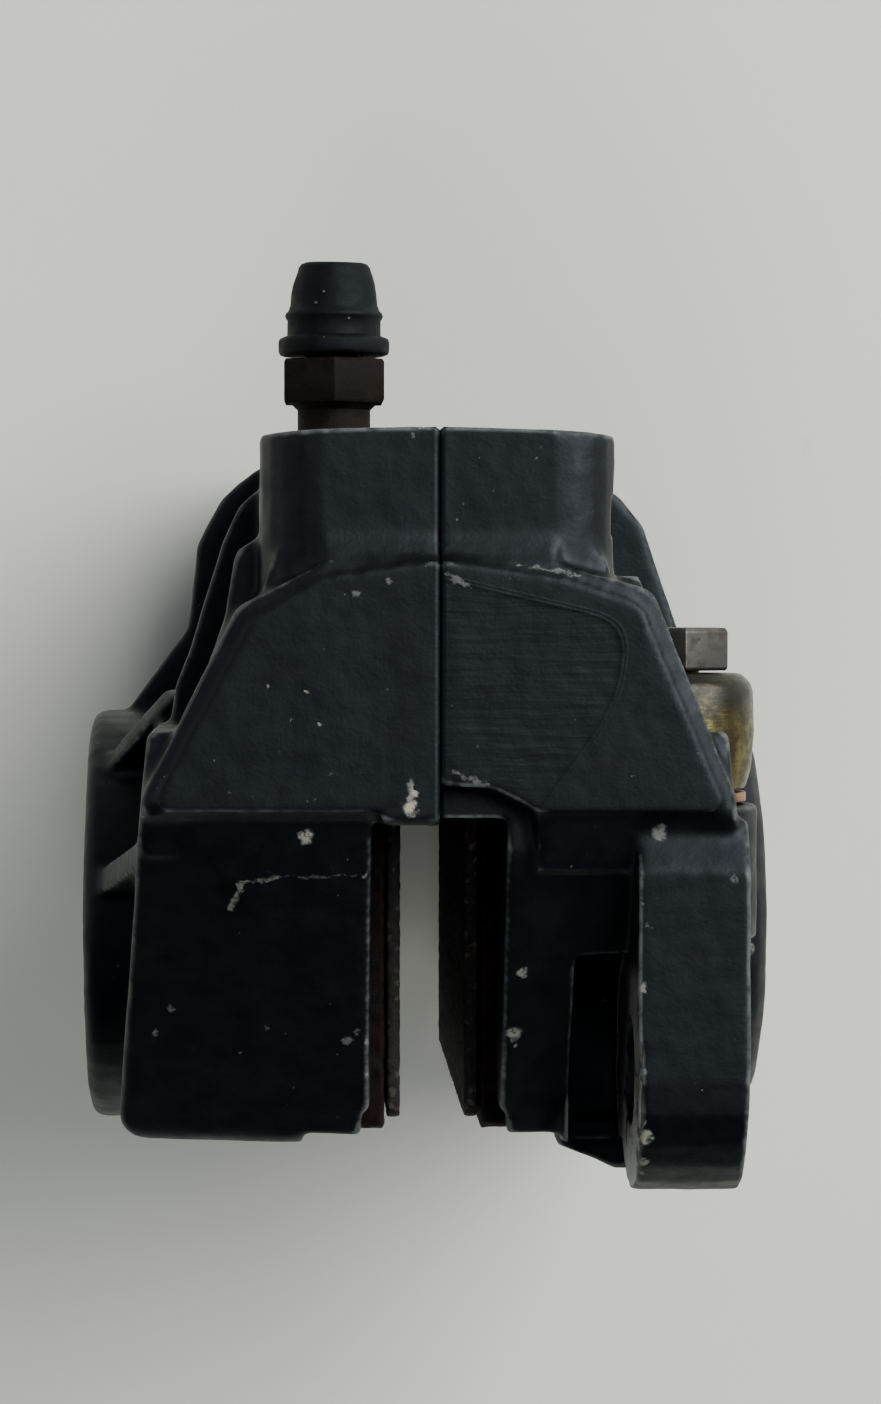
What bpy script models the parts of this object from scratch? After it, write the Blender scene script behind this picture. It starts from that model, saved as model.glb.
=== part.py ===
"""Two-piston opposed hydraulic disc-brake caliper, built up from its separate pieces.

The caliper stands on one end. +Z runs along the disc's direction of travel, +X runs
across the disc from the outer half to the inner half (the piston axis), and +Y points
radially outward, towards the bleed screw. Sizes are in millimetres and become metres
as the meshes are made. The origin is under the middle of the object's box.
"""
import math

import bmesh
import bpy
from mathutils import Matrix, Vector

MM = 0.001
GAP = 0.3                 # clearance between touching pieces

# Driving sizes of the castings
LENGTH = 108.0            # mounting-hole spacing of 84 plus one lug radius at each end
MID = LENGTH / 2
SPLIT = GAP / 2           # each half stops this far from the joint plane
TOWER_TOP = 27.6
TOWER_HALF = 17.5
TOWER_CORNER = 6.0
TOWER_INSET = 2.0         # tower's end faces sit behind the bridge's end faces
BRIDGE_TOP = 15.0
LEG_TOP = -9.7
LEG_BOTTOM = -44.5
LEG_TOP_INSET = 1.5       # leg's sloping end face starts here, behind the end face
LEG_BOTTOM_INSET = 15.5
LEG_CORNER = 3.0
LEG_SIDE_TOP = 29.0
LEG_SIDE_BOTTOM = 32.0
LEG_TWIST = 0.16          # the foot gets this much shorter towards its outer side
SLAB = 9.0                # thickness of the flat slab at each end of the bridge
SLAB_CORNER = {-1: (19.6, 10.1), 1: (20.6, 11.8)}   # the outer half's and the inner half's
HOUSING_RADIUS = 22.5
HOUSING_END = 36.3
HOUSING_ROUND = {-1: 1.6, 1: 4.0}   # edge radius of the outer and the inner housing
PANEL_RISE = 0.7          # end faces are flat panels that stand proud of their slabs
PANEL_BORDER = 1.3
SLAB_FOOT = -13.5         # the disc slot cuts into this
BEVEL_DROP = 1.0          # the end's lower edge is bevelled back to the leg's face
BEVEL_SINK = 0.4          # and this far behind that face, so that the leg runs through it
BEVELS = ((0.0, 5.6, -10.6), (5.6, 35.0, -9.7))   # X range and the height where it starts
FOOT_STEP = -43.3         # the leg's foot is this much shorter beside the slot
FOOT_STEP_SIDE = 13.2

# Disc, pads and pistons
PISTON_Y = -23.8
SLOT_HALF = 6.5
SLOT_RADIUS = 137.5
SLOT_Y = -138.2           # height of the wheel's axis
NOTCH_HALF = 7.3          # the abutments step back here, below NOTCH_TOP
NOTCH_TOP = -40.6
POCKET_HALF = 11.9
POCKET_TOP = -0.7
PAD_LENGTH = 69.0
PAD_TOP = -1.4
PAD_BOTTOM = -43.2
LINING_FACE = 3.3
LINING_BACK = 4.6
PLATE_BACK = 7.8
PISTON_RADIUS = 17.0
PISTON_LENGTH = 19.0
PISTON_WALL = 4.2
PISTON_CROWN = 5.0
BORE_RADIUS = PISTON_RADIUS + GAP
BORE_END = 32.5
SEAL_NEAR = 15.0
SEAL_WIDTH = 4.0
SEAL_DEPTH = 2.1
DUST_WIDTH = 2.4
DUST_DEPTH = 1.5

# Windows through the tower, with the pad pins that cross them
WINDOW_OFFSET = 20.5
WINDOW_LENGTH = 19.0
PIN_Y = 7.5
PIN_RADIUS = 2.5
EAR_HALF = 5.5
EAR_TOP = 12.5

# Ribs on the outer side of each half
FIN_HALF = 1.5
FIN_PLACES = {"end": 10.5, "side": 29.0}    # distance from the nearer end
WEB_HALF = 1.4

# Screws and fluid fittings
BOLT_PLACES = ((19.0, 41.0), (1.8, 43.0))   # height and distance from the middle
BOLT_SEATS = (9.0, 15.0)
BOLT_RADIUS = 4.0
BOLT_HEAD_RADIUS = 6.5
BOLT_HEAD = 7.7
BOLT_END = -13.5
LUG_Y = -36.1
LUG_RADIUS = 12.0
LUG_NEAR = 19.2
LUG_FAR = 30.2
LUG_HOLE = 5.2
SPOT_DEPTH = 0.2          # milled flats round the lug holes, on both sides of the lug
SPOT_RADIUS = 12.6        # for the fork's bracket, on the side towards the disc
SPOT_START = 13.6         # the milling cutter clears the leg from here to the lug
SEAT_RADIUS = 11.0        # for the bolt's head and washer, on the other side
LUG_TOP = -10.5           # the lug grows out of the bridge between here and its shoulder
LUG_SHOULDER = -15.4
BAND_NEAR = 9.6           # a sloping band ties the lug to the bridge from here outwards
BLEED_X = -9.7
CAP_BORE = 3.95           # clears the nipple's bead, so that the cap pulls straight off
PASSAGE_Y = 5.5
PASSAGE_RADIUS = 1.5
PASSAGE_X = 21.0
INLET_X = 25.2
INLET_Z = 83.0
INLET_SEAT = -10.2

# Crest of each kind of fin: half width and height, from the tower down
FINS = {
    "end": ((17.5, 17.0), (19.9, 15.6), (20.9, 9.0), (25.6, -4.0), (26.0, -10.0)),
    "side": ((18.0, 22.1), (19.8, 20.4), (21.6, 16.4), (24.9, 5.6), (26.4, 2.0), (28.0, -10.0)),
    "outer_middle": ((18.2, 25.6), (22.1, 21.9), (24.8, 16.9), (25.7, 8.6), (28.4, -10.0)),
    "inner_middle": ((18.2, 24.6), (21.9, 22.4), (24.6, 19.0), (27.4, 10.8), (29.6, 4.0),
                     (30.4, -10.0)),
}

MATERIALS = {
    "black_paint": ((0.018, 0.020, 0.023), 0.42, 0.0),
    "rusty_steel": ((0.10, 0.055, 0.035), 0.80, 0.6),
    "plated_steel": ((0.45, 0.45, 0.44), 0.38, 1.0),
    "dark_steel": ((0.09, 0.08, 0.075), 0.55, 0.9),
    "chrome": ((0.72, 0.73, 0.74), 0.14, 1.0),
    "lining": ((0.060, 0.048, 0.042), 0.92, 0.0),
    "rubber": ((0.012, 0.012, 0.013), 0.68, 0.0),
    "yellow_brass": ((0.55, 0.40, 0.15), 0.38, 1.0),
    "copper": ((0.60, 0.28, 0.16), 0.42, 1.0),
}


# ---------------------------------------------------------------- small tools

def clear_scene():
    for item in list(bpy.data.objects):
        bpy.data.objects.remove(item, do_unlink=True)


def material(name):
    found = bpy.data.materials.get(name)
    if found:
        return found
    colour, roughness, metallic = MATERIALS[name]
    made = bpy.data.materials.new(name)
    made.use_nodes = True
    shader = made.node_tree.nodes["Principled BSDF"]
    shader.inputs["Base Color"].default_value = (*colour, 1.0)
    shader.inputs["Roughness"].default_value = roughness
    shader.inputs["Metallic"].default_value = metallic
    made.diffuse_color = (*colour, 1.0)
    return made


def new_object(name, vertices, faces, finish, place=(0.0, 0.0, 0.0)):
    """Makes an object from millimetre vertices, with its origin at place.

    Faces that aren't flat are split into triangles, so that a Boolean cuts them cleanly.
    """
    mesh = bpy.data.meshes.new(name)
    origin = Vector(place)
    mesh.from_pydata([(Vector(v) - origin) * MM for v in vertices], [], faces)
    shape = bmesh.new()
    shape.from_mesh(mesh)
    bmesh.ops.recalc_face_normals(shape, faces=shape.faces)
    bmesh.ops.connect_verts_nonplanar(shape, angle_limit=math.radians(0.05), faces=shape.faces)
    shape.to_mesh(mesh)
    shape.free()
    mesh.shade_smooth()
    mesh.set_sharp_from_angle(angle=math.radians(35))
    made = bpy.data.objects.new(name, mesh)
    made.location = origin * MM
    mesh.materials.append(material(finish))
    bpy.context.scene.collection.objects.link(made)
    return made


def combine(target, tool, operation):
    """Adds a live Boolean of tool to target and keeps tool as a hidden guide."""
    tool.hide_render = True
    tool.display_type = "WIRE"
    step = target.modifiers.new(tool.name, "BOOLEAN")
    step.operation = operation
    step.solver = "EXACT"
    step.object = tool


def join(target, tool):
    combine(target, tool, "UNION")


def cut(target, tool):
    combine(target, tool, "DIFFERENCE")


def arc(centre, radius, start, end, steps):
    """Points on an arc, with angles in degrees."""
    points = []
    for step in range(steps + 1):
        angle = math.radians(start + (end - start) * step / steps)
        points.append((centre[0] + radius * math.cos(angle), centre[1] + radius * math.sin(angle)))
    return points


def rounded(points, steps=4):
    """Closed outline from (u, v, radius) corners, each radius drawn as an arc."""
    outline = []
    count = len(points)
    for index, (u, v, radius) in enumerate(points):
        if radius == 0:
            outline.append((u, v))
            continue
        corner = Vector((u, v))
        before = (Vector(points[index - 1][:2]) - corner).normalized()
        after = (Vector(points[(index + 1) % count][:2]) - corner).normalized()
        half = before.angle(after) / 2
        reach = radius / math.tan(half)
        centre = corner + (before + after).normalized() * radius / math.sin(half)
        first = corner + before * reach - centre
        last = corner + after * reach - centre
        turn = first.angle_signed(last)
        for step in range(steps + 1):
            point = centre + Matrix.Rotation(-turn * step / steps, 2) @ first
            outline.append((point.x, point.y))
    return outline


def loft(name, loops, finish, place=(0.0, 0.0, 0.0), closed=False):
    """Closed solid through loops of equal length; closed joins the last to the first."""
    size = len(loops[0])
    vertices = [point for loop in loops for point in loop]
    faces = []
    rings = len(loops)
    for ring in range(rings if closed else rings - 1):
        low = ring * size
        high = ((ring + 1) % rings) * size
        for index in range(size):
            after = (index + 1) % size
            faces.append((low + index, low + after, high + after, high + index))
    if not closed:
        faces.append(tuple(range(size)))
        faces.append(tuple(range((rings - 1) * size, rings * size)))
    return new_object(name, vertices, faces, finish, place)


def prism(name, outline, axis, low, high, finish="black_paint", place=(0.0, 0.0, 0.0)):
    """Extrudes an outline along X (outline in Y, Z), Y (X, Z) or Z (X, Y)."""
    def put(point, along):
        u, v = point
        return {"X": (along, u, v), "Y": (u, along, v), "Z": (u, v, along)}[axis]
    loops = [[put(point, along) for point in outline] for along in (low, high)]
    return loft(name, loops, finish, place)


def turned(name, profile, axis, centre, finish, steps=32, ring=False, place=None):
    """Turns a profile of (along, radius) points about an axis through centre.

    A solid profile runs from one end to the other; a ring profile is a closed outline
    that stays off the axis.
    """
    loops = []
    for along, radius in profile:
        loop = []
        for step in range(steps):
            angle = 2 * math.pi * (step + 0.5) / steps
            u = radius * math.cos(angle)
            v = radius * math.sin(angle)
            offset = {"X": (along, u, v), "Y": (u, along, v)}[axis]
            loop.append(tuple(c + o for c, o in zip(centre, offset)))
        loops.append(loop)
    return loft(name, loops, finish, place or centre, closed=ring)


def rod(name, radius, axis, centre, low, high, finish="black_paint", steps=24):
    return turned(name, [(low, radius), (high, radius)], axis, centre, finish, steps)


def ring_profile(low, high, inner, outer):
    return [(low, inner), (low, outer), (high, outer), (high, inner)]


def hex_loop(centre, across_flats, y, turn):
    radius = across_flats / math.sqrt(3)
    loop = []
    for step in range(6):
        angle = math.radians(turn + 60 * step)
        loop.append((centre[0] + radius * math.cos(angle), y, centre[1] + radius * math.sin(angle)))
    return loop


# ---------------------------------------------------------------- the castings

def side_points(side, points):
    """Mirrors half-outline points to one side; side is -1 for outer, +1 for inner."""
    return [(side * point[0], *point[1:]) for point in points]


def slab_outline(side):
    corners = [(SPLIT, BRIDGE_TOP, 0), (11.6, 14.3, 0), (*SLAB_CORNER[side], 2.5), (28.7, -8.1, 2.0),
               (29.2, -12.0, 0), (SPLIT, SLAB_FOOT, 0)]
    return rounded(side_points(side, corners))


def panel_outline(side):
    border = PANEL_BORDER
    shoulder, height = SLAB_CORNER[side]
    corners = [(SPLIT, BRIDGE_TOP - 0.4, 0), (11.6, 14.3 - border, 4),
               (shoulder - border, height - border, 3),
               (28.6 - border, -8.1, 1.5), (28.6 - border, LEG_TOP, 1.0), (5.6, LEG_TOP, 0),
               (5.6, SLAB_FOOT, 0), (SPLIT, SLAB_FOOT, 0)]
    return rounded(side_points(side, corners))


def core_outline(side):
    corners = [(SPLIT, 16.0, 0), (16.0, 16.0, 2), (18.5, 7.0, 4), (22.5, -3.0, 4),
               (28.0, -8.0, 2), (29.0, -14.0, 0), (SPLIT, -14.0, 0)]
    return rounded(side_points(side, corners))


def fin_outline(side, kind):
    """Outline of a fin, from its crest beside the tower down to its foot on the leg."""
    crest = FINS[kind]
    corners = [(14.0, crest[0][1], 0), (*crest[0], 1.2)]
    corners += [(*point, 2.0) for point in crest[1:-1]]
    corners += [(*crest[-1], 0), (14.0, crest[-1][1], 0)]
    return rounded(side_points(side, corners), 3)


def make_tower(side, tag):
    low = TOWER_INSET
    high = LENGTH - TOWER_INSET
    corners = [(SPLIT, low, 0), (TOWER_HALF, low, TOWER_CORNER),
               (TOWER_HALF, high, TOWER_CORNER), (SPLIT, high, 0)]
    return prism(tag + "_tower", rounded(side_points(side, corners), 5), "Y", 8.0, TOWER_TOP)


def make_leg(side, tag):
    """The leg round the piston: it narrows downwards and leans out towards its foot."""
    lean = (LEG_SIDE_BOTTOM - LEG_SIDE_TOP) / (LEG_TOP - LEG_BOTTOM)
    outline = rounded([(LEG_TOP, LEG_TOP_INSET, 0), (LEG_BOTTOM, LEG_BOTTOM_INSET, 2.5),
                       (LEG_BOTTOM, LENGTH - LEG_BOTTOM_INSET, 2.5),
                       (LEG_TOP, LENGTH - LEG_TOP_INSET, 0),
                       (-2.0, LENGTH - LEG_TOP_INSET - 2, 0), (-2.0, LEG_TOP_INSET + 2, 0)])
    loops = [[(side * SPLIT, y, z) for y, z in outline]]
    for along, rise in arc((-LEG_CORNER, LEG_CORNER), LEG_CORNER, -90, 0, 4):
        loop = []
        for y, z in outline:
            flare = min(LEG_SIDE_TOP + lean * (LEG_TOP - y), LEG_SIDE_BOTTOM)
            drop = max(LEG_TOP - y, 0.0) / (LEG_TOP - LEG_BOTTOM)
            narrow = MID + (z - MID) * (1 - LEG_TWIST * drop)
            loop.append((side * (flare + along), max(y, LEG_BOTTOM + rise), narrow))
        loops.append(loop)
    return loft(tag + "_leg", loops, "black_paint")


def make_housing(side, tag):
    edge = HOUSING_ROUND[side]
    profile = [(side * 20.0, HOUSING_RADIUS)]
    profile += [(side * along, radius) for along, radius in
                arc((HOUSING_END - edge, HOUSING_RADIUS - edge), edge, 90, 0, 4)]
    return turned(tag + "_housing", profile, "X", (0.0, PISTON_Y, MID), "black_paint", 48)


def make_gusset(side, tag, name, angle, corners):
    """A thin web from the body to the housing's rim, in a plane through the piston axis."""
    half = WEB_HALF
    tilt = math.radians(angle)
    out = Vector((0.0, math.cos(tilt), math.sin(tilt)))
    across = Vector((0.0, -math.sin(tilt), math.cos(tilt)))
    middle = Vector((0.0, PISTON_Y, MID))
    loops = []
    for shift in (-half, half):
        loop = []
        for x, radius in corners:
            point = middle + out * radius + across * shift
            loop.append((side * x, point.y, point.z))
        loops.append(loop)
    return loft(tag + name, loops, "black_paint")


def add_ribs(target, side, tag):
    middle = "inner_middle" if side > 0 else "outer_middle"
    places = list(FIN_PLACES.items())
    places += [(kind, LENGTH - z) for kind, z in FIN_PLACES.items()]
    places.append((middle, MID))
    for index, (kind, z) in enumerate(places):
        join(target, prism(f"{tag}_fin_{index}", fin_outline(side, kind), "Z",
                           z - FIN_HALF, z + FIN_HALF))
    top = [(22.0, 16.0), (22.0, 33.0), (25.5, 31.9), (32.6, 22.3), (32.6, 16.0)]
    upper = [(22.0, 16.0), (22.0, 36.0), (26.2, 34.0), (34.2, 22.3), (34.2, 16.0)]
    lower = [(22.0, 16.0), (22.0, 46.0), (29.0, 44.0), (34.6, 22.2), (34.6, 16.0)]
    webs = [("_web_0", 0.0, top), ("_web_1", 40.0, upper), ("_web_2", -40.0, upper),
            ("_web_3", 77.0, lower), ("_web_4", -77.0, lower)]
    for name, angle, corners in webs:
        join(target, make_gusset(side, tag, name, angle, corners))


def cut_slot_and_pocket(target, side, tag):
    reach = LENGTH * 0.6
    spread = math.degrees(math.asin(reach / SLOT_RADIUS))
    outline = [(y, z) for z, y in arc((MID, SLOT_Y), SLOT_RADIUS, 90 - spread, 90 + spread, 20)]
    outline += [(-60.0, MID - reach), (-60.0, MID + reach)]
    cut(target, prism(tag + "_slot_cut", outline, "X", -side * 5.0, side * SLOT_HALF))
    low = MID - PAD_LENGTH / 2 - GAP
    high = MID + PAD_LENGTH / 2 + GAP
    step = [(-59.0, -5.0), (FOOT_STEP, -5.0), (FOOT_STEP, LENGTH + 5), (-59.0, LENGTH + 5)]
    cut(target, prism(tag + "_step_cut", step, "X", -side * 5.5, side * FOOT_STEP_SIDE))
    notch = [(-59.0, -5.0), (NOTCH_TOP, -5.0), (NOTCH_TOP, LENGTH + 5), (-59.0, LENGTH + 5)]
    cut(target, prism(tag + "_notch_cut", notch, "X", -side * 4.0, side * NOTCH_HALF))
    pocket = [(-61.0, low), (POCKET_TOP, low), (POCKET_TOP, high), (-61.0, high)]
    cut(target, prism(tag + "_pocket_cut", pocket, "X", -side * 6.0, side * POCKET_HALF))
    for name, centre in (("_window_far", MID - WINDOW_OFFSET), ("_window_near", MID + WINDOW_OFFSET)):
        half = WINDOW_LENGTH / 2
        corners = [(-side * 6.0, centre - half, 0), (side * POCKET_HALF, centre - half, 2),
                   (side * POCKET_HALF, centre + half, 2), (-side * 6.0, centre + half, 0)]
        cut(target, prism(tag + name, rounded(corners), "Y", -5.0, TOWER_TOP + 5))


def cut_bore(target, side, tag):
    groove = BORE_RADIUS + SEAL_DEPTH
    mouth = BORE_RADIUS + DUST_DEPTH
    step = POCKET_HALF + DUST_WIDTH
    profile = [(5.0, mouth), (step, mouth), (step, BORE_RADIUS), (SEAL_NEAR, BORE_RADIUS),
               (SEAL_NEAR, groove), (SEAL_NEAR + SEAL_WIDTH, groove),
               (SEAL_NEAR + SEAL_WIDTH, BORE_RADIUS), (BORE_END, BORE_RADIUS)]
    profile = [(side * along, radius) for along, radius in profile]
    cut(target, turned(tag + "_bore_cut", profile, "X", (0.0, PISTON_Y, MID), "black_paint", 40))


def cut_passages(target, side, tag):
    along = rod(tag + "_passage_x", PASSAGE_RADIUS, "X", (0.0, PASSAGE_Y, MID),
                -side * 1.0, side * (PASSAGE_X + 0.7), steps=12)
    down = rod(tag + "_passage_y", PASSAGE_RADIUS + 0.1, "Y", (side * PASSAGE_X, 0.0, MID),
               PISTON_Y, PASSAGE_Y + 0.9, steps=12)
    cut(target, along)
    cut(target, down)


def cut_bolt_holes(target, side, tag):
    index = 0
    for (y, offset), seat in zip(BOLT_PLACES, BOLT_SEATS):
        for z in (MID - offset, MID + offset):
            centre = (0.0, y, z)
            hole = BOLT_RADIUS + GAP
            if side > 0:
                cut(target, rod(f"{tag}_bolt_cut_{index}", hole, "X", centre, -2.0, seat + 3))
                head = BOLT_HEAD_RADIUS + 0.4
                cut(target, rod(f"{tag}_seat_cut_{index}", head, "X", centre, seat, 40.0))
            else:
                cut(target, rod(f"{tag}_bolt_cut_{index}", hole, "X", centre, 2.0, BOLT_END - GAP))
            index += 1


def cut_pin_holes(target, side, tag):
    """Pin holes, with a spot face for the head or a hollow for the clip outside them."""
    for index, inward in enumerate((1, -1)):
        z = MID - inward * WINDOW_OFFSET
        cut(target, rod(f"{tag}_pin_cut_{index}", PIN_RADIUS + GAP, "X", (0.0, PIN_Y, z),
                        -side * 2.0, side * 40.0, steps=16))
        if side > 0:
            cut(target, rod(f"{tag}_head_cut_{index}", 4.3, "X", (0.0, PIN_Y, z),
                            TOWER_HALF, 40.0, steps=20))
        else:
            low, high = sorted((z - inward * 3.6, z + inward * 6.6))
            corners = [(1.4, low, 2), (17.2, low, 2), (17.2, high, 2), (1.4, high, 2)]
            cut(target, prism(f"{tag}_clip_cut_{index}", rounded(corners, 3), "X",
                              -TOWER_HALF, -40.0))


def leg_inset(y):
    """How far the trimmed end face lies behind the caliper's end face at height y."""
    share = (LEG_TOP - y) / (LEG_TOP - LEG_BOTTOM)
    return LEG_TOP_INSET + share * (LEG_BOTTOM_INSET - LEG_TOP_INSET) + BEVEL_SINK


def cut_end_bevels(target, side, tag):
    """Trims both ends below the panels back to the leg's face, over a small bevel."""
    foot = SLAB_FOOT - 6.0
    for index, (near, far, start) in enumerate(BEVELS):
        edge = start - BEVEL_DROP
        slope = BEVEL_DROP / leg_inset(edge)
        for end, inward in ((0.0, 1), (LENGTH, -1)):
            corners = [(start + slope, end - inward), (edge, end + leg_inset(edge) * inward),
                       (foot, end + leg_inset(foot) * inward), (foot, end - inward)]
            cut(target, prism(f"{tag}_bevel_{index}_{end:.0f}", corners, "X",
                              side * near, side * far))


def make_half(name, side):
    """One casting with everything that both halves share."""
    half = prism(name, core_outline(side), "Z", 3.0, LENGTH - 3.0)
    join(half, prism(name + "_slab_far", slab_outline(side), "Z", PANEL_RISE, SLAB))
    join(half, prism(name + "_slab_near", slab_outline(side), "Z", LENGTH - SLAB,
                     LENGTH - PANEL_RISE))
    join(half, prism(name + "_panel_far", panel_outline(side), "Z", 0.0, 4.0))
    join(half, prism(name + "_panel_near", panel_outline(side), "Z", LENGTH - 4.0, LENGTH))
    cut_end_bevels(half, side, name)
    join(half, make_tower(side, name))
    for tag, end, inward in (("_fillet_far", 0.0, 1), ("_fillet_near", LENGTH, -1)):
        corner = [(BRIDGE_TOP - 0.5, end + 0.9 * inward), (BRIDGE_TOP + 2.6, end + 2.2 * inward),
                  (BRIDGE_TOP + 2.6, end + 4.0 * inward), (BRIDGE_TOP - 0.5, end + 4.0 * inward)]
        join(half, prism(name + tag, corner, "X", side * SPLIT, side * 11.5))
    join(half, make_leg(side, name))
    join(half, make_housing(side, name))
    add_ribs(half, side, name)
    return half


def cut_half(half, side, name):
    cut_slot_and_pocket(half, side, name)
    cut_bore(half, side, name)
    cut_passages(half, side, name)
    cut_bolt_holes(half, side, name)
    cut_pin_holes(half, side, name)


def make_outer_half():
    name = "outer_half"
    half = make_half(name, -1)
    cut_half(half, -1, name)
    bore = [(9.0, 5.05), (TOWER_TOP + 5, 5.05)]
    cut(half, turned(name + "_bleed_cut", bore, "Y", (BLEED_X, 0.0, MID), "black_paint", 24))
    cut(half, rod(name + "_bleed_drill", PASSAGE_RADIUS + 0.2, "Y", (BLEED_X, 0.0, MID),
                  PASSAGE_Y, 12.0, steps=12))
    return half


def add_lug(target, name, end, inward):
    """Mounting lug at one end; inward is +1 or -1, from that end towards the middle."""
    hole = end + LUG_RADIUS * inward
    outline = [(LUG_TOP, end + 2.2 * inward), (LUG_SHOULDER, end)]
    outline += [(LUG_Y - LUG_RADIUS * math.sin(angle), hole - inward * LUG_RADIUS * math.cos(angle))
                for angle in (math.pi * step / 12 for step in range(13))]
    outline.append((LUG_TOP, end + 26.0 * inward))
    join(target, prism(name, outline, "X", LUG_NEAR, LUG_FAR))
    band = [(LUG_TOP + 1.2, end + 0.3 * inward), (LUG_SHOULDER - 0.2, end + 3.0 * inward),
            (LUG_SHOULDER - 0.2, end + SLAB * inward), (LUG_TOP + 1.2, end + SLAB * inward)]
    join(target, prism(name + "_band", band, "X", BAND_NEAR, LUG_FAR - 1.4))
    side = LUG_NEAR + 0.4
    root = [(BAND_NEAR, end + 19.0 * inward), (14.5, end + 14.5 * inward),
            (side, end + 10.5 * inward), (side, end + 32.0 * inward)]
    join(target, prism(name + "_root", root, "Y", LEG_BOTTOM + 0.5, -16.0))


def cut_inlet(target, name):
    """Seat, thread and drilling of the fluid inlet, in its boss behind the fins."""
    boss = (INLET_X, 0.0, INLET_Z)
    cut(target, rod(name + "_inlet_relief", 9.4, "Y", boss, INLET_SEAT, 40.0, steps=32))
    cut(target, rod(name + "_inlet_thread", 5.05, "Y", boss, -19.5, 0.0))
    cut(target, rod(name + "_inlet_drill", PASSAGE_RADIUS + 0.2, "Y", boss, -24.0, -17.0, steps=12))


def make_inner_half():
    name = "inner_half"
    half = make_half(name, 1)
    add_lug(half, name + "_lug_far", 0.0, 1)
    add_lug(half, name + "_lug_near", LENGTH, -1)
    boss = (INLET_X, 0.0, INLET_Z)
    join(half, rod(name + "_inlet_boss", 8.6, "Y", boss, -24.0, INLET_SEAT + 0.5, steps=32))
    cut_half(half, 1, name)
    cut_inlet(half, name)
    for index, z in enumerate((LUG_RADIUS, LENGTH - LUG_RADIUS)):
        centre = (0.0, LUG_Y, z)
        cut(half, rod(f"{name}_spot_cut_{index}", SPOT_RADIUS, "X", centre, SPOT_START,
                      LUG_NEAR + SPOT_DEPTH, steps=36))
        cut(half, rod(f"{name}_bolt_seat_cut_{index}", SEAT_RADIUS, "X", centre,
                      LUG_FAR - SPOT_DEPTH, 45.0, steps=36))
        cut(half, rod(f"{name}_lug_cut_{index}", LUG_HOLE, "X", centre, LUG_NEAR - 1.0, 40.0))
    scoop = [(-1.0, -7.0, 0), (5.0, -7.4, 3), (9.2, -9.6, 1.5), (9.2, -16.0, 0), (-1.0, -16.0, 0)]
    cut(half, prism(name + "_scoop", rounded(scoop), "Z", LENGTH - 3.2, LENGTH + 2.0))
    seal = rod(name + "_crossover_cut", 4.2, "X", (0.0, PASSAGE_Y, MID), -2.0, SPLIT + 1.5)
    cut(half, seal)
    return half


# ---------------------------------------------------------------- hydraulics and pads

def make_piston(name, side):
    start = PLATE_BACK + GAP
    end = start + PISTON_LENGTH
    hollow = PISTON_RADIUS - PISTON_WALL
    profile = [(end, 0.4), (end, PISTON_RADIUS - 1.0), (end - 1.0, PISTON_RADIUS),
               (start + 0.6, PISTON_RADIUS), (start, PISTON_RADIUS - 0.6),
               (start, hollow), (end - PISTON_CROWN, hollow), (end - PISTON_CROWN, 0.4)]
    profile = [(side * along, radius) for along, radius in profile]
    return turned(name, profile, "X", (0.0, PISTON_Y, MID), "chrome", 40)


def make_seal(name, side, low, high, outer):
    profile = [(side * low, BORE_RADIUS), (side * low, outer), (side * high, outer),
               (side * high, BORE_RADIUS)]
    return turned(name, profile, "X", (0.0, PISTON_Y, MID), "rubber", 40, ring=True)


def pad_outline(grow, with_ears):
    """Plate or lining outline in Y and Z; grow is negative for the lining."""
    low = MID - PAD_LENGTH / 2 - grow
    high = MID + PAD_LENGTH / 2 + grow
    top = PAD_TOP + grow
    bottom = PAD_BOTTOM - grow
    corners = [(bottom, low, 1.6), (bottom, high, 1.6), (top, high, 4)]
    if with_ears:
        for centre in (MID + WINDOW_OFFSET, MID - WINDOW_OFFSET):
            corners += [(top, centre + EAR_HALF, 0), (EAR_TOP, centre + EAR_HALF, 3),
                        (EAR_TOP, centre - EAR_HALF, 3), (top, centre - EAR_HALF, 0)]
    corners.append((top, low, 4))
    return rounded(corners)


def make_pad(prefix, side):
    plate = prism(prefix + "_pad_plate", pad_outline(0.0, True), "X", side * (LINING_BACK + GAP),
                  side * PLATE_BACK, "rusty_steel")
    for index, z in enumerate((MID - WINDOW_OFFSET, MID + WINDOW_OFFSET)):
        cut(plate, rod(f"{prefix}_ear_cut_{index}", PIN_RADIUS + 0.35, "X", (0.0, PIN_Y, z),
                       side * 1.0, side * 14.0, steps=16))
    prism(prefix + "_pad_lining", pad_outline(-1.0, False), "X", side * LINING_FACE,
          side * LINING_BACK, "lining")


def make_pad_pin(name, z):
    head = TOWER_HALF + 0.3
    profile = [(head + 1.6, 0.3), (head + 1.6, 3.3), (head + 1.2, 3.7), (head, 3.7),
               (head, PIN_RADIUS), (-head - 3.4, PIN_RADIUS), (-head - 4.2, PIN_RADIUS - 0.8),
               (-head - 4.2, 0.3)]
    pin = turned(name, profile, "X", (0.0, PIN_Y, z), "plated_steel", 20)
    hole = rod(name + "_hole", 0.8, "Y", (-head - 2.0, PIN_Y, z), -8.0, 8.0, steps=10)
    cut(pin, hole)
    return pin


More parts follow.
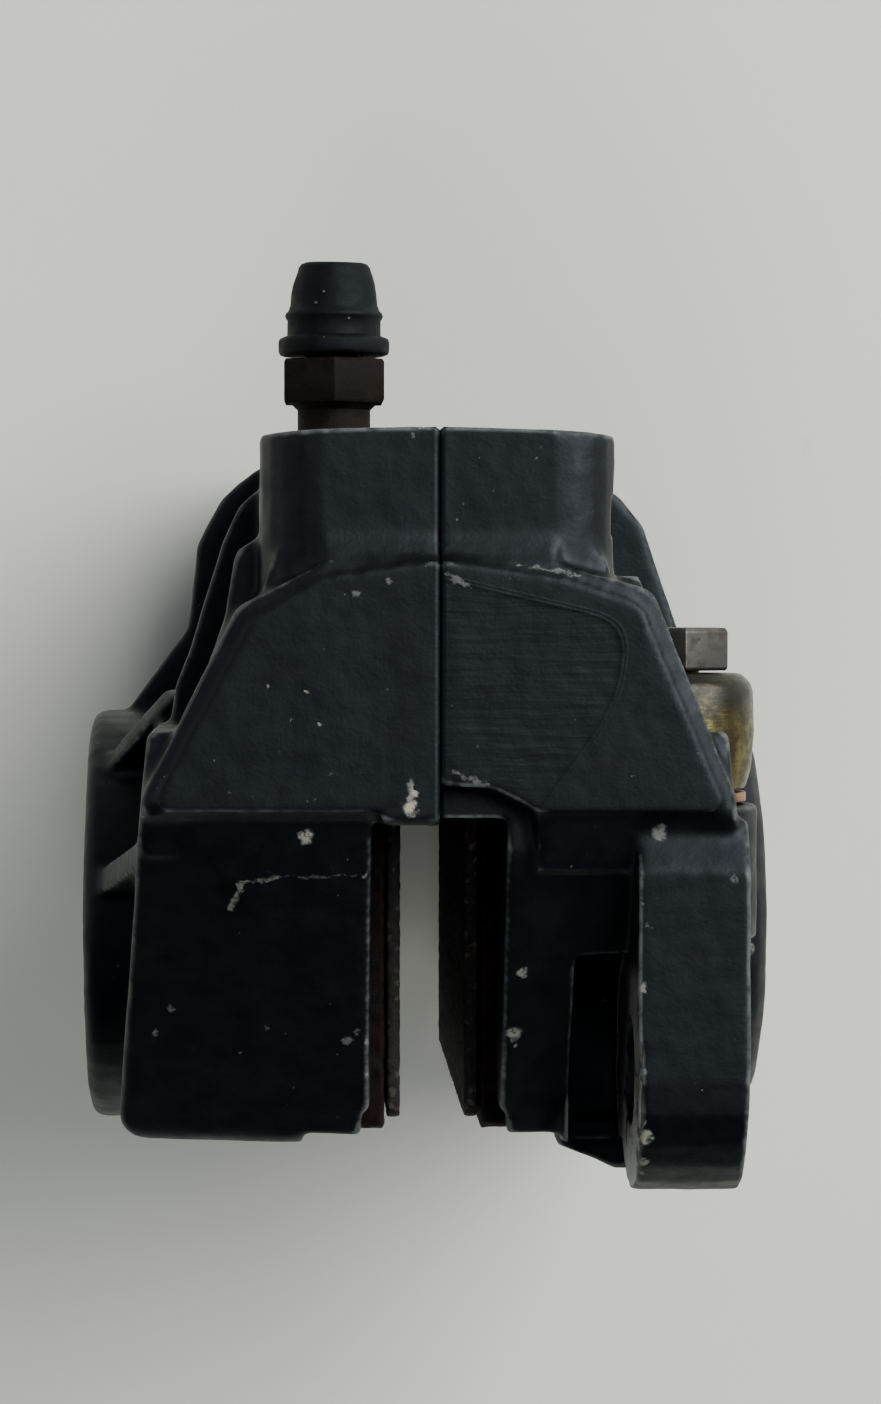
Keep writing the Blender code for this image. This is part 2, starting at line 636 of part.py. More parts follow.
def make_pin_clip(name, z, inward):
    """R-clip: its straight leg passes through the pin, its other leg lies beside it."""
    x = -(TOWER_HALF + 2.3)
    wire = 0.45
    route = [(0.0, -5.0), (0.0, 6.0)]
    route += [(2.0 - 2.0 * math.cos(a), 6.0 + 2.0 * math.sin(a))
              for a in (math.pi * step / 6 for step in range(1, 7))]
    route += [(4.0, 3.4), (3.2, 0.4), (3.9, -3.0)]
    loops = []
    for index, (u, v) in enumerate(route):
        before = Vector(route[max(index - 1, 0)])
        after = Vector(route[min(index + 1, len(route) - 1)])
        along = (after - before).normalized()
        normal = Vector((-along.y, along.x))
        loop = []
        for step in range(8):
            angle = 2 * math.pi * step / 8
            shift = normal * wire * math.cos(angle)
            loop.append((x + wire * math.sin(angle), PIN_Y + v + shift.y, z + inward * (u + shift.x)))
        loops.append(loop)
    return loft(name, loops, "plated_steel", (x, PIN_Y, z))


def make_pad_spring(name, z):
    """Flat H-shaped leaf: its strip runs under the pin, its arms press on both pads."""
    base = PAD_TOP + GAP
    arm = 8.6
    strip = 2.4
    corners = [(-7.4, z - arm, 0.6), (7.4, z - arm, 0.6), (7.4, z - 6.2, 0.6), (strip, z - 6.2, 0),
               (strip, z + 6.2, 0), (7.4, z + 6.2, 0.6), (7.4, z + arm, 0.6), (-7.4, z + arm, 0.6),
               (-7.4, z + 6.2, 0.6), (-strip, z + 6.2, 0), (-strip, z - 6.2, 0), (-7.4, z - 6.2, 0.6)]
    outline = rounded(corners, 2)
    return prism(name, outline, "Y", base, base + 0.6, "plated_steel", (0.0, base, z))


# ---------------------------------------------------------------- screws and fittings

def make_body_bolt(name, y, z, seat):
    start = seat + GAP
    top = start + BOLT_HEAD
    profile = [(top, 0.3), (top, BOLT_HEAD_RADIUS - 0.6), (top - 0.6, BOLT_HEAD_RADIUS),
               (start, BOLT_HEAD_RADIUS), (start, BOLT_RADIUS), (BOLT_END + 0.8, BOLT_RADIUS),
               (BOLT_END, BOLT_RADIUS - 0.8), (BOLT_END, 0.3)]
    bolt = turned(name, profile, "X", (0.0, y, z), "dark_steel", 24)
    socket = [(top - 4.0, 3.46), (top + 2.0, 3.46)]
    cut(bolt, turned(name + "_socket", socket, "X", (0.0, y, z), "dark_steel", 6))
    return bolt


def make_bleed_screw():
    """Thread, neck, hexagon of 11 mm across flats and the hose nipple, drilled through."""
    centre = (BLEED_X, 0.0, MID)
    profile = [(10.5, 0.9), (10.5, 2.6), (12.5, 4.7), (26.6, 4.7), (27.9, 4.05), (31.8, 4.05),
               (32.9, 5.2), (37.1, 5.2), (37.3, 3.0), (40.0, 2.9), (42.4, 3.5), (43.6, 3.5),
               (45.4, 2.5), (45.4, 0.9)]
    screw = turned("bleed_screw", profile, "Y", centre, "dark_steel", 24)
    hexagon = [hex_loop((BLEED_X, MID), flats, y, 30) for y, flats in
               ((32.5, 10.6), (32.9, 11.0), (37.0, 11.0), (37.35, 10.6))]
    hexagon = loft("bleed_hex", hexagon, "dark_steel")
    join(screw, hexagon)
    drill = rod("bleed_drill", 0.9, "Y", centre, 5.0, 50.0, steps=12)
    cut(screw, drill)
    return screw


def make_dust_cap():
    outside = [(37.75, 6.0), (38.0, 6.1), (39.6, 6.1), (39.9, 5.1), (41.9, 5.15), (42.2, 5.35),
               (42.6, 5.1), (43.0, 4.85), (46.8, 4.4), (47.8, 3.95), (48.1, 3.4), (48.1, 0.5)]
    inside = [(46.2, 0.5), (46.2, 3.0), (44.4, CAP_BORE), (37.75, CAP_BORE)]
    return turned("bleed_dust_cap", outside + inside, "Y", (BLEED_X, 0.0, MID), "rubber", 32,
                  ring=True)


def make_crossover_seal():
    major = 2.95
    minor = 0.55
    profile = []
    for step in range(8):
        angle = 2 * math.pi * step / 8
        profile.append((0.85 + minor * math.cos(angle), major + minor * math.sin(angle)))
    return turned("crossover_seal", profile, "X", (0.0, PASSAGE_Y, MID), "rubber", 20, ring=True)


def make_inlet():
    centre = (INLET_X, 0.0, INLET_Z)
    low = INLET_SEAT + GAP
    turned("inlet_washer", ring_profile(low, low + 1.0, 5.2, 7.4), "Y", centre, "copper", 28,
           ring=True)
    base = low + 1.0 + GAP
    profile = [(-18.5, 1.4), (-18.5, 4.0), (-17.8, 4.7), (base, 4.7), (base, 7.3), (base + 2, 7.9),
               (base + 6, 8.25), (base + 10.0, 8.1), (2.4, 7.8), (3.3, 6.8), (3.3, 2.9), (-4.0, 2.9),
               (-5.0, 1.4)]
    turned("inlet_union", profile, "Y", centre, "yellow_brass", 32, ring=True)
    hexagon = [hex_loop((INLET_X, INLET_Z), flats, y, 24) for y, flats in
               ((3.6, 9.6), (3.9, 10.0), (7.6, 10.0), (8.0, 9.5))]
    plug = loft("inlet_plug", hexagon, "dark_steel", centre)
    join(plug, rod("inlet_plug_shank", 2.55, "Y", centre, -3.2, 5.0, "dark_steel", 20))


def main():
    clear_scene()
    make_outer_half()
    make_inner_half()
    for prefix, side in (("outer", -1), ("inner", 1)):
        make_piston(prefix + "_piston", side)
        make_seal(prefix + "_piston_seal", side, SEAL_NEAR + GAP, SEAL_NEAR + SEAL_WIDTH - GAP,
                  BORE_RADIUS + SEAL_DEPTH - GAP)
        make_seal(prefix + "_dust_seal", side, POCKET_HALF + 0.1, POCKET_HALF + DUST_WIDTH - GAP,
                  BORE_RADIUS + DUST_DEPTH - GAP)
        make_pad(prefix, side)
    for end, inward in (("far", 1), ("near", -1)):
        z = MID - inward * WINDOW_OFFSET
        make_pad_pin("pad_pin_" + end, z)
        make_pin_clip("pin_clip_" + end, z, inward)
        make_pad_spring("pad_spring_" + end, z)
    index = 1
    for (y, offset), seat in zip(BOLT_PLACES, BOLT_SEATS):
        for z in (MID - offset, MID + offset):
            make_body_bolt(f"body_bolt_{index}", y, z, seat)
            index += 1
    make_bleed_screw()
    make_dust_cap()
    make_crossover_seal()
    make_inlet()


main()
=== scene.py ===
"""Looks of a two-piston disc-brake caliper that stands on one end, seen from above."""
import math

import bmesh
import bpy
import numpy as np
from mathutils import Matrix, Vector, noise
from mathutils.bvhtree import BVHTree


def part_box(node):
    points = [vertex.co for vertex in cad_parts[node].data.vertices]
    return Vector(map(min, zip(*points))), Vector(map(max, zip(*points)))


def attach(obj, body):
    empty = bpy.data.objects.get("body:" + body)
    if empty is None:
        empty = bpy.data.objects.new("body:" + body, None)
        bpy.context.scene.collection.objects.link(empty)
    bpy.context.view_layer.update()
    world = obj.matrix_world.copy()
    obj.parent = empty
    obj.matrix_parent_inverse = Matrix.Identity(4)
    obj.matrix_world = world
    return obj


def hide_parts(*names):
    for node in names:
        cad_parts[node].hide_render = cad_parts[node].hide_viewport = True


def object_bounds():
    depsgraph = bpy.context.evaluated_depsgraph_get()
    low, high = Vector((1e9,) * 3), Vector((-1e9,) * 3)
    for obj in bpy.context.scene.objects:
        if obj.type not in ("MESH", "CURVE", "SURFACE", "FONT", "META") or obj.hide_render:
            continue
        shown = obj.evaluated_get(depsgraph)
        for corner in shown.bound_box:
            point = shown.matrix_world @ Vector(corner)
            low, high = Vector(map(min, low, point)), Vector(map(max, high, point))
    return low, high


MM = 0.001

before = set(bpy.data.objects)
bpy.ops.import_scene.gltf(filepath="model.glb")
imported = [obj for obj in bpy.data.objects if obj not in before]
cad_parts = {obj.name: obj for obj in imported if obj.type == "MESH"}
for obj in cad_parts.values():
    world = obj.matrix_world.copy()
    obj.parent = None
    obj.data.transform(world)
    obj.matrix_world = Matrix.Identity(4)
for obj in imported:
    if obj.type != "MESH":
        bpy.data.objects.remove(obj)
cad_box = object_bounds()

# ---------------------------------------------------------------- sizes read from the frame

LOW = Vector(cad_box[0])
HIGH = Vector(cad_box[1])
TOP = HIGH.z                                  # the near end, which faces the camera
TOWER_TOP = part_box("outer_half")[1][1]

# ---------------------------------------------------------------- sizes of the setting

CAMERA_PLACE = Vector((-14.0, 10.8, 458.0)) * MM
CAMERA_AIM = Vector((0.0, 1.0, 108.0)) * MM
LENS = 93.3
SENSOR_HEIGHT = 36.0
BRIGHT_SIDE = (0.25, 0.45, 0.85)              # where the room is brightest
ROOM_LIGHT = (0.31, 0.34, 0.37)
ROOM_DARK = (0.006, 0.010, 0.018)
LIGHT_AIM = Vector((0.0, 0.0, 0.05))
LIGHT_COLOUR = (1.0, 0.995, 0.96)
# Area lights: name, place, width, watts, seen in reflections, falls on matt surfaces
LIGHTS = (("key", (0.95, 0.66, 1.15), 1.40, 46.0, True, True),
          ("front", (-0.05, -0.62, 1.25), 0.50, 5.0, False, True),
          ("side", (-1.10, 0.30, 0.40), 1.40, 3.6, True, False))
FLOOR_HALF = 3.0
FLOOR_DROP = 0.12 * MM                        # the rough cast foot reaches a little below its box

# ---------------------------------------------------------------- colours

PAINT = (0.0005, 0.0008, 0.0013)
PAINT_GRAIN = (0.0014, 0.0022, 0.0034)
# Grey for the paint's convex edges: partly rubbed paint, partly a painted highlight
PAINT_WEAR_AND_HIGHLIGHT = (0.105, 0.115, 0.120)
CHIP_DULL = (0.13, 0.135, 0.125)
CHIP_BRIGHT = (0.33, 0.30, 0.205)
PAINT_GLOSS = 0.29
PAINT_SHEEN = (0.78, 0.90, 1.0, 1.0)
MILLED_METAL = (0.35, 0.34, 0.32)
FLOOR_COLOURS = ((0.690, 0.705, 0.640), (0.745, 0.760, 0.690))
FLOOR_STAIN = (0.36, 0.35, 0.33)
LINING_COLOURS = ((0.0022, 0.0018, 0.0018), (0.0150, 0.0115, 0.0100))
LINING_GRIT = (0.085, 0.070, 0.058)
RUBBER_COLOURS = ((0.0009, 0.0013, 0.0018), (0.0036, 0.0046, 0.0056))
RUBBER_DUST = (0.20, 0.19, 0.17)
RUBBER_EDGE = (0.045, 0.046, 0.048)
BRASS_COLOURS = ((0.150, 0.125, 0.045), (0.050, 0.042, 0.020))
# Grey painted over the union's top as painted shade, for its dark reflection
BRASS_TOP_SHADE = (0.030, 0.030, 0.028)

# Dark and light shade of each rusty or bare metal
PLATE_RUST = ((0.0011, 0.0008, 0.0008), (0.0075, 0.0030, 0.0022))
SCREW_RUST = ((0.0028, 0.0022, 0.0019), (0.0115, 0.0072, 0.0052))
RUST_PIT = (0.0022, 0.0020, 0.0020)
RUST_EDGE = (0.045, 0.032, 0.026)
CHROME = ((0.20, 0.195, 0.185), (0.36, 0.36, 0.355))
BOLT_STEEL = ((0.050, 0.040, 0.034), (0.10, 0.095, 0.09))
ZINC = ((0.24, 0.22, 0.19), (0.46, 0.45, 0.43))
COPPER = ((0.16, 0.085, 0.05), (0.34, 0.17, 0.10))
PLUG_STEEL = ((0.060, 0.055, 0.050), (0.13, 0.125, 0.12))
METAL_PIT = (0.05, 0.04, 0.03)

# ---------------------------------------------------------------- marks in the paint

# Chips in the paint that show from above: X and Y in millimetres, radius, how bare they are
CHIPS = {
    "outer_half": ((-2.9, -9.2, 0.75, 0.9), (-2.6, -7.8, 0.5, 0.8), (-13.0, -12.1, 0.75, 0.7),
                   (-26.8, -7.0, 0.5, 0.4), (-8.8, -33.0, 0.6, 0.45), (-6.8, -33.2, 0.45, 0.5),
                   (-7.8, -32.0, 0.35, 0.4), (-27.4, 15.6, 0.8, 0.5), (-32.4, -1.6, 1.0, 0.5),
                   (-26.4, -29.9, 0.4, 0.4), (-27.9, -32.6, 0.4, 0.4), (-8.2, 11.3, 0.35, 0.4),
                   (-4.9, 12.6, 0.3, 0.4), (-14.3, -0.6, 0.22, 0.7), (-11.6, -1.0, 0.2, 0.6),
                   (-12.8, 1.9, 0.22, 0.6), (-16.6, 2.4, 0.2, 0.5), (-7.2, -16.0, 0.3, 0.5)),
    "inner_half": ((21.4, -11.8, 0.9, 0.5), (8.4, -26.0, 0.6, 0.6), (7.8, -32.4, 0.8, 0.6),
                   (19.7, -26.6, 0.5, 0.6), (20.0, -41.4, 0.8, 0.7), (20.0, -44.0, 0.6, 0.6),
                   (33.8, -25.9, 0.9, 0.6), (33.9, -23.6, 0.7, 0.5), (12.4, 13.4, 0.5, 0.4),
                   (1.4, 12.8, 0.5, 0.45), (3.4, -6.6, 0.45, 0.4), (20.2, -20.6, 0.35, 0.4),
                   (19.9, -34.8, 0.4, 0.5), (28.6, -16.0, 0.4, 0.4)),
}

# Scratches: X and Y of both ends in millimetres, half width and how bare they are
SCRATCHES = {
    "outer_half": (((-20.3, -19.4), (-19.2, -16.8), 0.28, 0.5),
                   ((-19.2, -16.8), (-15.8, -16.2), 0.20, 0.4),
                   ((-15.8, -16.2), (-7.9, -16.0), 0.14, 0.25),
                   ((-2.9, -9.9), (-2.8, -6.9), 0.35, 0.6)),
    "inner_half": (((7.6, 14.1), (13.6, 13.3), 0.20, 0.5),
                   ((0.6, 13.3), (2.8, 12.2), 0.22, 0.45),
                   ((1.2, -5.8), (4.6, -6.9), 0.20, 0.4),
                   ((6.3, -31.4), (6.4, -33.2), 0.22, 0.5),
                   ((6.4, -33.2), (8.2, -33.6), 0.20, 0.5),
                   ((20.0, -39.8), (20.1, -45.6), 0.22, 0.5)),
}

# ---------------------------------------------------------------- sizes of the finished shapes

# Even skins: spacing of the points, rounds of softening, and ruffles as size, height and seed
CASTING_SKIN = (0.40 * MM, 9, ((7 * MM, 0.10 * MM, 1.3), (1.5 * MM, 0.035 * MM, 4.1)))
PLATE_SKIN = (0.32 * MM, 2, ((1.4 * MM, 0.16 * MM, 2.2), (0.6 * MM, 0.05 * MM, 7.7)))
LINING_SKIN = (0.30 * MM, 1, ((1.0 * MM, 0.10 * MM, 3.4),))
MERGE_DISTANCE = 2e-6
FLAT_ANGLE = math.radians(0.4)                # triangles flatter than this are one face
SHARP_ANGLE = math.radians(28)                # edges sharper than this get a bevel

CROWN_HEIGHT = 4.0 * MM                       # the dome takes up this much of the tower's top
CROWN_DROP = 0.7 * MM
TOWER_HALF = 17.5 * MM

# The lugs' milled faces: X on either side of them, height over the lug's foot, and soft rims
MILLED_X = (18.4 * MM, 20.0 * MM)
MILLED_X_RIM = 0.4 * MM
MILLED_HEIGHT = 24 * MM
MILLED_HEIGHT_RIM = 4 * MM

# Profile of the rubber cap: height and radius in millimetres, up its outside and down its bore
CAP_OUTSIDE = ((37.85, 5.7), (37.95, 6.0), (38.3, 6.15), (39.3, 6.15), (39.65, 6.0),
               (39.85, 5.5), (40.0, 5.15), (40.8, 5.12), (41.7, 5.12), (41.95, 5.3),
               (42.2, 5.38), (42.45, 5.3), (42.7, 5.05), (43.4, 4.82), (44.6, 4.72),
               (45.6, 4.55), (46.4, 4.3), (47.0, 4.08), (47.5, 3.95), (47.85, 3.7),
               (48.0, 3.3), (47.95, 2.4), (47.85, 1.2), (47.4, 0.5))
CAP_BORE = ((46.2, 0.5), (46.2, 3.0), (44.4, 3.95), (41.8, 3.95), (40.6, 3.35), (37.85, 3.45))
TURN_STEPS = 96

# Straight sides of the patch, each as the direction outwards in X and Y and the distance
PATCH_SIDES = ((0.229, 0.973, 12.8), (1.0, 0.0, 18.0), (0.805, -0.593, 13.5))
PATCH_ROUND = 5.0 * MM
PATCH_DEPTH = 0.07 * MM

# Marked edges, worn and on the paint also given a painted highlight: rounds of smoothing, and the gain
# that makes up for it
EDGE_ROUNDS = 3
EDGE_GAIN = 1.45

# Web from the foot of each inner leg to its lug: X and Y corners, and its reach from the end.
# It starts outside the pad's pocket, because the plate slides back to 11.4 mm from the middle.
ROOT_OUTLINE = ((12.9, -42.5), (12.9, -45.2), (16.5, -46.5), (18.8, -47.6), (20.6, -47.8),
                (20.6, -42.5))
ROOT_REACH = (22.0, 33.0)

# Mating faces: how far each comes forward to close the joint, and how deep that reaches
JOINT_SHIFT = 0.14 * MM
JOINT_DEPTH = 1.3 * MM

# ---------------------------------------------------------------- camera, room and light


def make_camera():
    """Looks almost straight down the caliper's length, from a little to its left."""
    data = bpy.data.cameras.new("camera")
    data.sensor_fit = "VERTICAL"
    data.sensor_height = SENSOR_HEIGHT
    data.lens = LENS
    data.clip_start = 0.01
    camera = bpy.data.objects.new("camera", data)
    forward = (CAMERA_AIM - CAMERA_PLACE).normalized()
    right = Vector((1.0, 0.0, 0.0))
    right = (right - forward * right.dot(forward)).normalized()
    up = right.cross(forward)
    turn = Matrix((right, up, -forward)).transposed()
    camera.matrix_world = Matrix.Translation(CAMERA_PLACE) @ turn.to_4x4()
    bpy.context.scene.collection.objects.link(camera)
    bpy.context.scene.camera = camera


def make_area_light(name, place, size, energy, glossy, diffuse):
    """A round lamp that faces the caliper."""
    data = bpy.data.lights.new(name, "AREA")
    data.shape = "DISK"
    data.size = size
    data.energy = energy
    data.color = LIGHT_COLOUR
    light = bpy.data.objects.new(name, data)
    light.location = place
    direction = LIGHT_AIM - Vector(place)
    light.rotation_euler = direction.to_track_quat("-Z", "Y").to_euler()
    light.visible_glossy = glossy
    light.visible_diffuse = diffuse
    bpy.context.scene.collection.objects.link(light)


def make_world():
    """A dim room: its ceiling is grey, and it is darkest low down on the -Y and -X sides."""
    world = bpy.data.worlds.new("studio")
    world.use_nodes = True
    tree = world.node_tree
    place = tree.nodes.new("ShaderNodeTexCoord")
    toward = tree.nodes.new("ShaderNodeVectorMath")
    toward.operation = "DOT_PRODUCT"
    toward.inputs[1].default_value = Vector(BRIGHT_SIDE).normalized()
    tree.links.new(place.outputs["Generated"], toward.inputs[0])
    ramp = tree.nodes.new("ShaderNodeValToRGB")
    ramp.color_ramp.elements[0].position = 0.30
    ramp.color_ramp.elements[0].color = (*ROOM_DARK, 1.0)
    ramp.color_ramp.elements[1].position = 0.95
    ramp.color_ramp.elements[1].color = (*ROOM_LIGHT, 1.0)
    tree.links.new(toward.outputs["Value"], ramp.inputs["Fac"])
    tree.links.new(ramp.outputs["Color"], tree.nodes["Background"].inputs["Color"])
    tree.nodes["Background"].inputs["Strength"].default_value = 1.0
    bpy.context.scene.world = world


# ---------------------------------------------------------------- material tools

class Surface:
    """A material under construction: short calls add nodes and return their sockets."""

    def __init__(self, name):
        self.material = bpy.data.materials.new(name)
        self.material.use_nodes = True
        self.tree = self.material.node_tree
        self.shader = self.tree.nodes["Principled BSDF"]
        place = self.tree.nodes.new("ShaderNodeTexCoord")
        self.place = place.outputs["Object"]

    def node(self, kind, **settings):
        """Adds a node with the given settings."""
        made = self.tree.nodes.new(kind)
        for key, value in settings.items():
            setattr(made, key, value)
        return made

    def link(self, source, target):
        """Feeds a socket from another socket, a number or a colour."""
        if isinstance(source, (int, float)):
            target.default_value = source
        elif isinstance(source, tuple):
            target.default_value = (*source, 1.0)[:len(target.default_value)]
        else:
            self.tree.links.new(source, target)

    def stretch(self, x, y, z, source=None):
        """The place scaled along each axis; a small scale draws features out along it."""
        made = self.node("ShaderNodeMapping")
        made.inputs["Scale"].default_value = (x, y, z)
        self.link(source or self.place, made.inputs["Vector"])
        return made.outputs["Vector"]

    def noise(self, size, detail=3.0, rough=0.5, vector=None):
        """Noise whose features are about size metres across."""
        made = self.node("ShaderNodeTexNoise")
        made.inputs["Scale"].default_value = 1.0 / size
        made.inputs["Detail"].default_value = detail
        made.inputs["Roughness"].default_value = rough
        self.link(vector or self.place, made.inputs["Vector"])
        return made.outputs["Fac"]

    def cells(self, size, vector=None):
        """Voronoi cells: distance to the cell's point, and the cell's random colour."""
        made = self.node("ShaderNodeTexVoronoi")
        made.inputs["Scale"].default_value = 1.0 / size
        self.link(vector or self.place, made.inputs["Vector"])
        return made.outputs["Distance"], made.outputs["Color"]

    def math(self, operation, first, second=0.0, third=0.0):
        """Result of one arithmetic operation."""
        made = self.node("ShaderNodeMath", operation=operation)
        self.link(first, made.inputs[0])
        self.link(second, made.inputs[1])
        self.link(third, made.inputs[2])
        return made.outputs[0]

    def times(self, *values):
        """Product of the values."""
        total = values[0]
        for value in values[1:]:
            total = self.math("MULTIPLY", total, value)
        return total

    def step(self, value, low, high, start=0.0, end=1.0):
        """Smooth step of value from low to high."""
        made = self.node("ShaderNodeMapRange", interpolation_type="SMOOTHSTEP")
        self.link(value, made.inputs["Value"])
        made.inputs["From Min"].default_value = low
        made.inputs["From Max"].default_value = high
        made.inputs["To Min"].default_value = start
        made.inputs["To Max"].default_value = end
        return made.outputs["Result"]

    def mix(self, factor, first, second):
        """Colour between first at factor 0 and second at factor 1."""
        made = self.node("ShaderNodeMix", data_type="RGBA")
        self.link(factor, made.inputs["Factor"])
        self.link(first, made.inputs["A"])
        self.link(second, made.inputs["B"])
        return made.outputs["Result"]

    def blend_value(self, factor, first, second):
        """Number between first at factor 0 and second at factor 1."""
        made = self.node("ShaderNodeMix", data_type="FLOAT")
        self.link(factor, made.inputs["Factor"])
        self.link(first, made.inputs["A"])
        self.link(second, made.inputs["B"])
        return made.outputs["Result"]

    def attribute(self, name):
        """A value stored at the mesh's points."""
        made = self.node("ShaderNodeAttribute", attribute_name=name)
        return made.outputs["Fac"]

    def axis(self, letter, source=None):
        """One coordinate of the place, or of another vector."""
        made = self.node("ShaderNodeSeparateXYZ")
        self.link(source or self.place, made.inputs[0])
        return made.outputs[letter]

    def normal(self):
        """Direction that the surface faces."""
        return self.node("ShaderNodeNewGeometry").outputs["Normal"]

    def distance(self, point, source):
        """Distance from source to a fixed point."""
        made = self.node("ShaderNodeVectorMath", operation="DISTANCE")
        self.link(source, made.inputs[0])
        made.inputs[1].default_value = point
        return made.outputs["Value"]

    def segment_distance(self, start, end, source):
        """Distance from source to the straight line between two points."""
        first = Vector(start)
        along = Vector(end) - first
        offset = self.node("ShaderNodeVectorMath", operation="SUBTRACT")
        self.link(source, offset.inputs[0])
        offset.inputs[1].default_value = first
        dot = self.node("ShaderNodeVectorMath", operation="DOT_PRODUCT")
        self.link(offset.outputs[0], dot.inputs[0])
        dot.inputs[1].default_value = along / along.length_squared
        share = self.node("ShaderNodeClamp")
        self.link(dot.outputs["Value"], share.inputs["Value"])
        nearest = self.node("ShaderNodeVectorMath", operation="SCALE")
        nearest.inputs[0].default_value = along
        self.link(share.outputs["Result"], nearest.inputs["Scale"])
        away = self.node("ShaderNodeVectorMath", operation="DISTANCE")
        self.link(offset.outputs[0], away.inputs[0])
        self.link(nearest.outputs[0], away.inputs[1])
        return away.outputs["Value"]

    def wobble(self, size, amount):
        """The place, pushed about by noise, for ragged outlines."""
        spread = self.node("ShaderNodeTexNoise")
        spread.inputs["Scale"].default_value = 1.0 / size
        spread.inputs["Detail"].default_value = 3.0
        self.link(self.place, spread.inputs["Vector"])
        centre = self.node("ShaderNodeVectorMath", operation="SUBTRACT")
        self.link(spread.outputs["Color"], centre.inputs[0])
        centre.inputs[1].default_value = (0.5, 0.5, 0.5)
        push = self.node("ShaderNodeVectorMath", operation="SCALE")
        self.link(centre.outputs[0], push.inputs[0])
        push.inputs["Scale"].default_value = amount
        total = self.node("ShaderNodeVectorMath", operation="ADD")
        self.link(self.place, total.inputs[0])
        self.link(push.outputs[0], total.inputs[1])
        return total.outputs[0]

    def bump(self, height, distance, strength=1.0):
        """Normal of a surface with fine relief of the given height."""
        made = self.node("ShaderNodeBump")
        made.inputs["Strength"].default_value = strength
        made.inputs["Distance"].default_value = distance
        self.link(height, made.inputs["Height"])
        return made.outputs["Normal"]

    def finish(self, colour, roughness, metallic, normal, **fixed):
        """Connects the shader and returns the material."""
        self.link(colour, self.shader.inputs["Base Color"])
        self.link(roughness, self.shader.inputs["Roughness"])
        self.link(metallic, self.shader.inputs["Metallic"])
        self.link(normal, self.shader.inputs["Normal"])
        for key, value in fixed.items():
            self.shader.inputs[key.replace("_", " ")].default_value = value
        return self.material


# ---------------------------------------------------------------- materials

def surface_tree(node):
    """Search tree of a node's CAD surface."""
    shape = bmesh.new()
    shape.from_mesh(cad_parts[node].data)
    tree = BVHTree.FromBMesh(shape)
    shape.free()
    return tree


def seen_from_above(tree, x, y):
    """The highest point of a surface over X and Y, which are in millimetres."""
    start = Vector((x * MM, y * MM, TOP + 10 * MM))
    hit = tree.ray_cast(start, Vector((0.0, 0.0, -1.0)))[0]
    return hit or Vector((x * MM, y * MM, TOP))


def specks(s, size, rarity, place):
    """Pin-prick chips: one in a few dozen cells of the given size holds one."""
    distance, random = s.cells(size, place)
    rare = s.step(s.axis("X", random), rarity, rarity + 0.01)
    bare = s.step(s.axis("Y", random), 0.0, 1.0, 0.08, 0.42)
    return s.times(rare, s.step(distance, 0.24, 0.12), bare)


def bare_edges(s, edge):
    """Short stretches of the sharpest edges, worn through to the metal."""
    stretch = s.step(s.noise(3.2 * MM, 5.0, 0.75), 0.60, 0.67)
    return s.times(s.step(edge, 0.65, 0.9), stretch, 0.7)


def paint_marks(s, node, edge, ragged):
    """Specks, bare edges, chips and scratches together, from 0 to 1 where they are barest."""
    marks = s.math("MAXIMUM", specks(s, 1.3 * MM, 0.975, ragged), bare_edges(s, edge))
    crowd = s.step(s.noise(11 * MM, 2.0, 0.5), 0.46, 0.56)
    marks = s.math("MAXIMUM", marks, s.times(crowd, specks(s, 0.75 * MM, 0.93, ragged)))
    patchy = s.step(s.noise(0.7 * MM, 3.0, 0.7), 0.34, 0.52, 0.30, 1.0)
    tree = surface_tree(node)
    for x, y, radius, bare in CHIPS[node]:
        away = s.distance(seen_from_above(tree, x, y), ragged)
        chip = s.step(away, radius * 1.25 * MM, radius * 0.6 * MM, 0.0, bare)
        marks = s.math("MAXIMUM", marks, s.times(chip, patchy))
    for start, end, width, bare in SCRATCHES[node]:
        away = s.segment_distance(seen_from_above(tree, *start), seen_from_above(tree, *end),
                                  ragged)
        line = s.step(away, width * 1.5 * MM, width * 0.5 * MM, 0.0, bare)
        marks = s.math("MAXIMUM", marks, s.times(line, patchy))
    return marks


def paint_colour(s, edge, grain, marks):
    """Black paint, greyer on its grain, greyer along its convex edges as rubbed paint and painted
    highlight, and bare at its marks.
    """
    broad = s.noise(9 * MM, 4.0, 0.6)
    colour = s.mix(s.step(broad, 0.35, 0.7), PAINT, tuple(c * 1.8 for c in PAINT))
    colour = s.mix(s.times(s.step(grain, 0.55, 0.8), 0.30), colour, PAINT_GRAIN)
    # Rubbed paint and painted highlight: convex edges turn grey in noisy stretches, fainter near the
    # parting line
    rub_and_highlight = s.times(s.step(edge, 0.45, 0.95), s.step(s.noise(2.5 * MM, 4.0, 0.7), 0.25, 0.60))
    colour = s.mix(s.times(rub_and_highlight, 0.85), colour, PAINT_WEAR_AND_HIGHLIGHT)
    chipped = s.mix(s.step(marks, 0.45, 0.95), CHIP_DULL, CHIP_BRIGHT)
    return s.mix(s.step(marks, 0.0, 0.75), colour, chipped)


def paint_relief(s, grain, marks, milled):
    """Normal of the cast skin under the paint, with the marks sunk into it."""
    height = s.math("ADD", s.times(grain, 0.55), s.times(s.noise(1.6 * MM, 2.0), 0.7))
    if milled:
        height = s.math("ADD", height, striations(s))
    height = s.math("SUBTRACT", height, s.times(marks, 0.9))
    return s.bump(height, 0.05 * MM, 0.9)


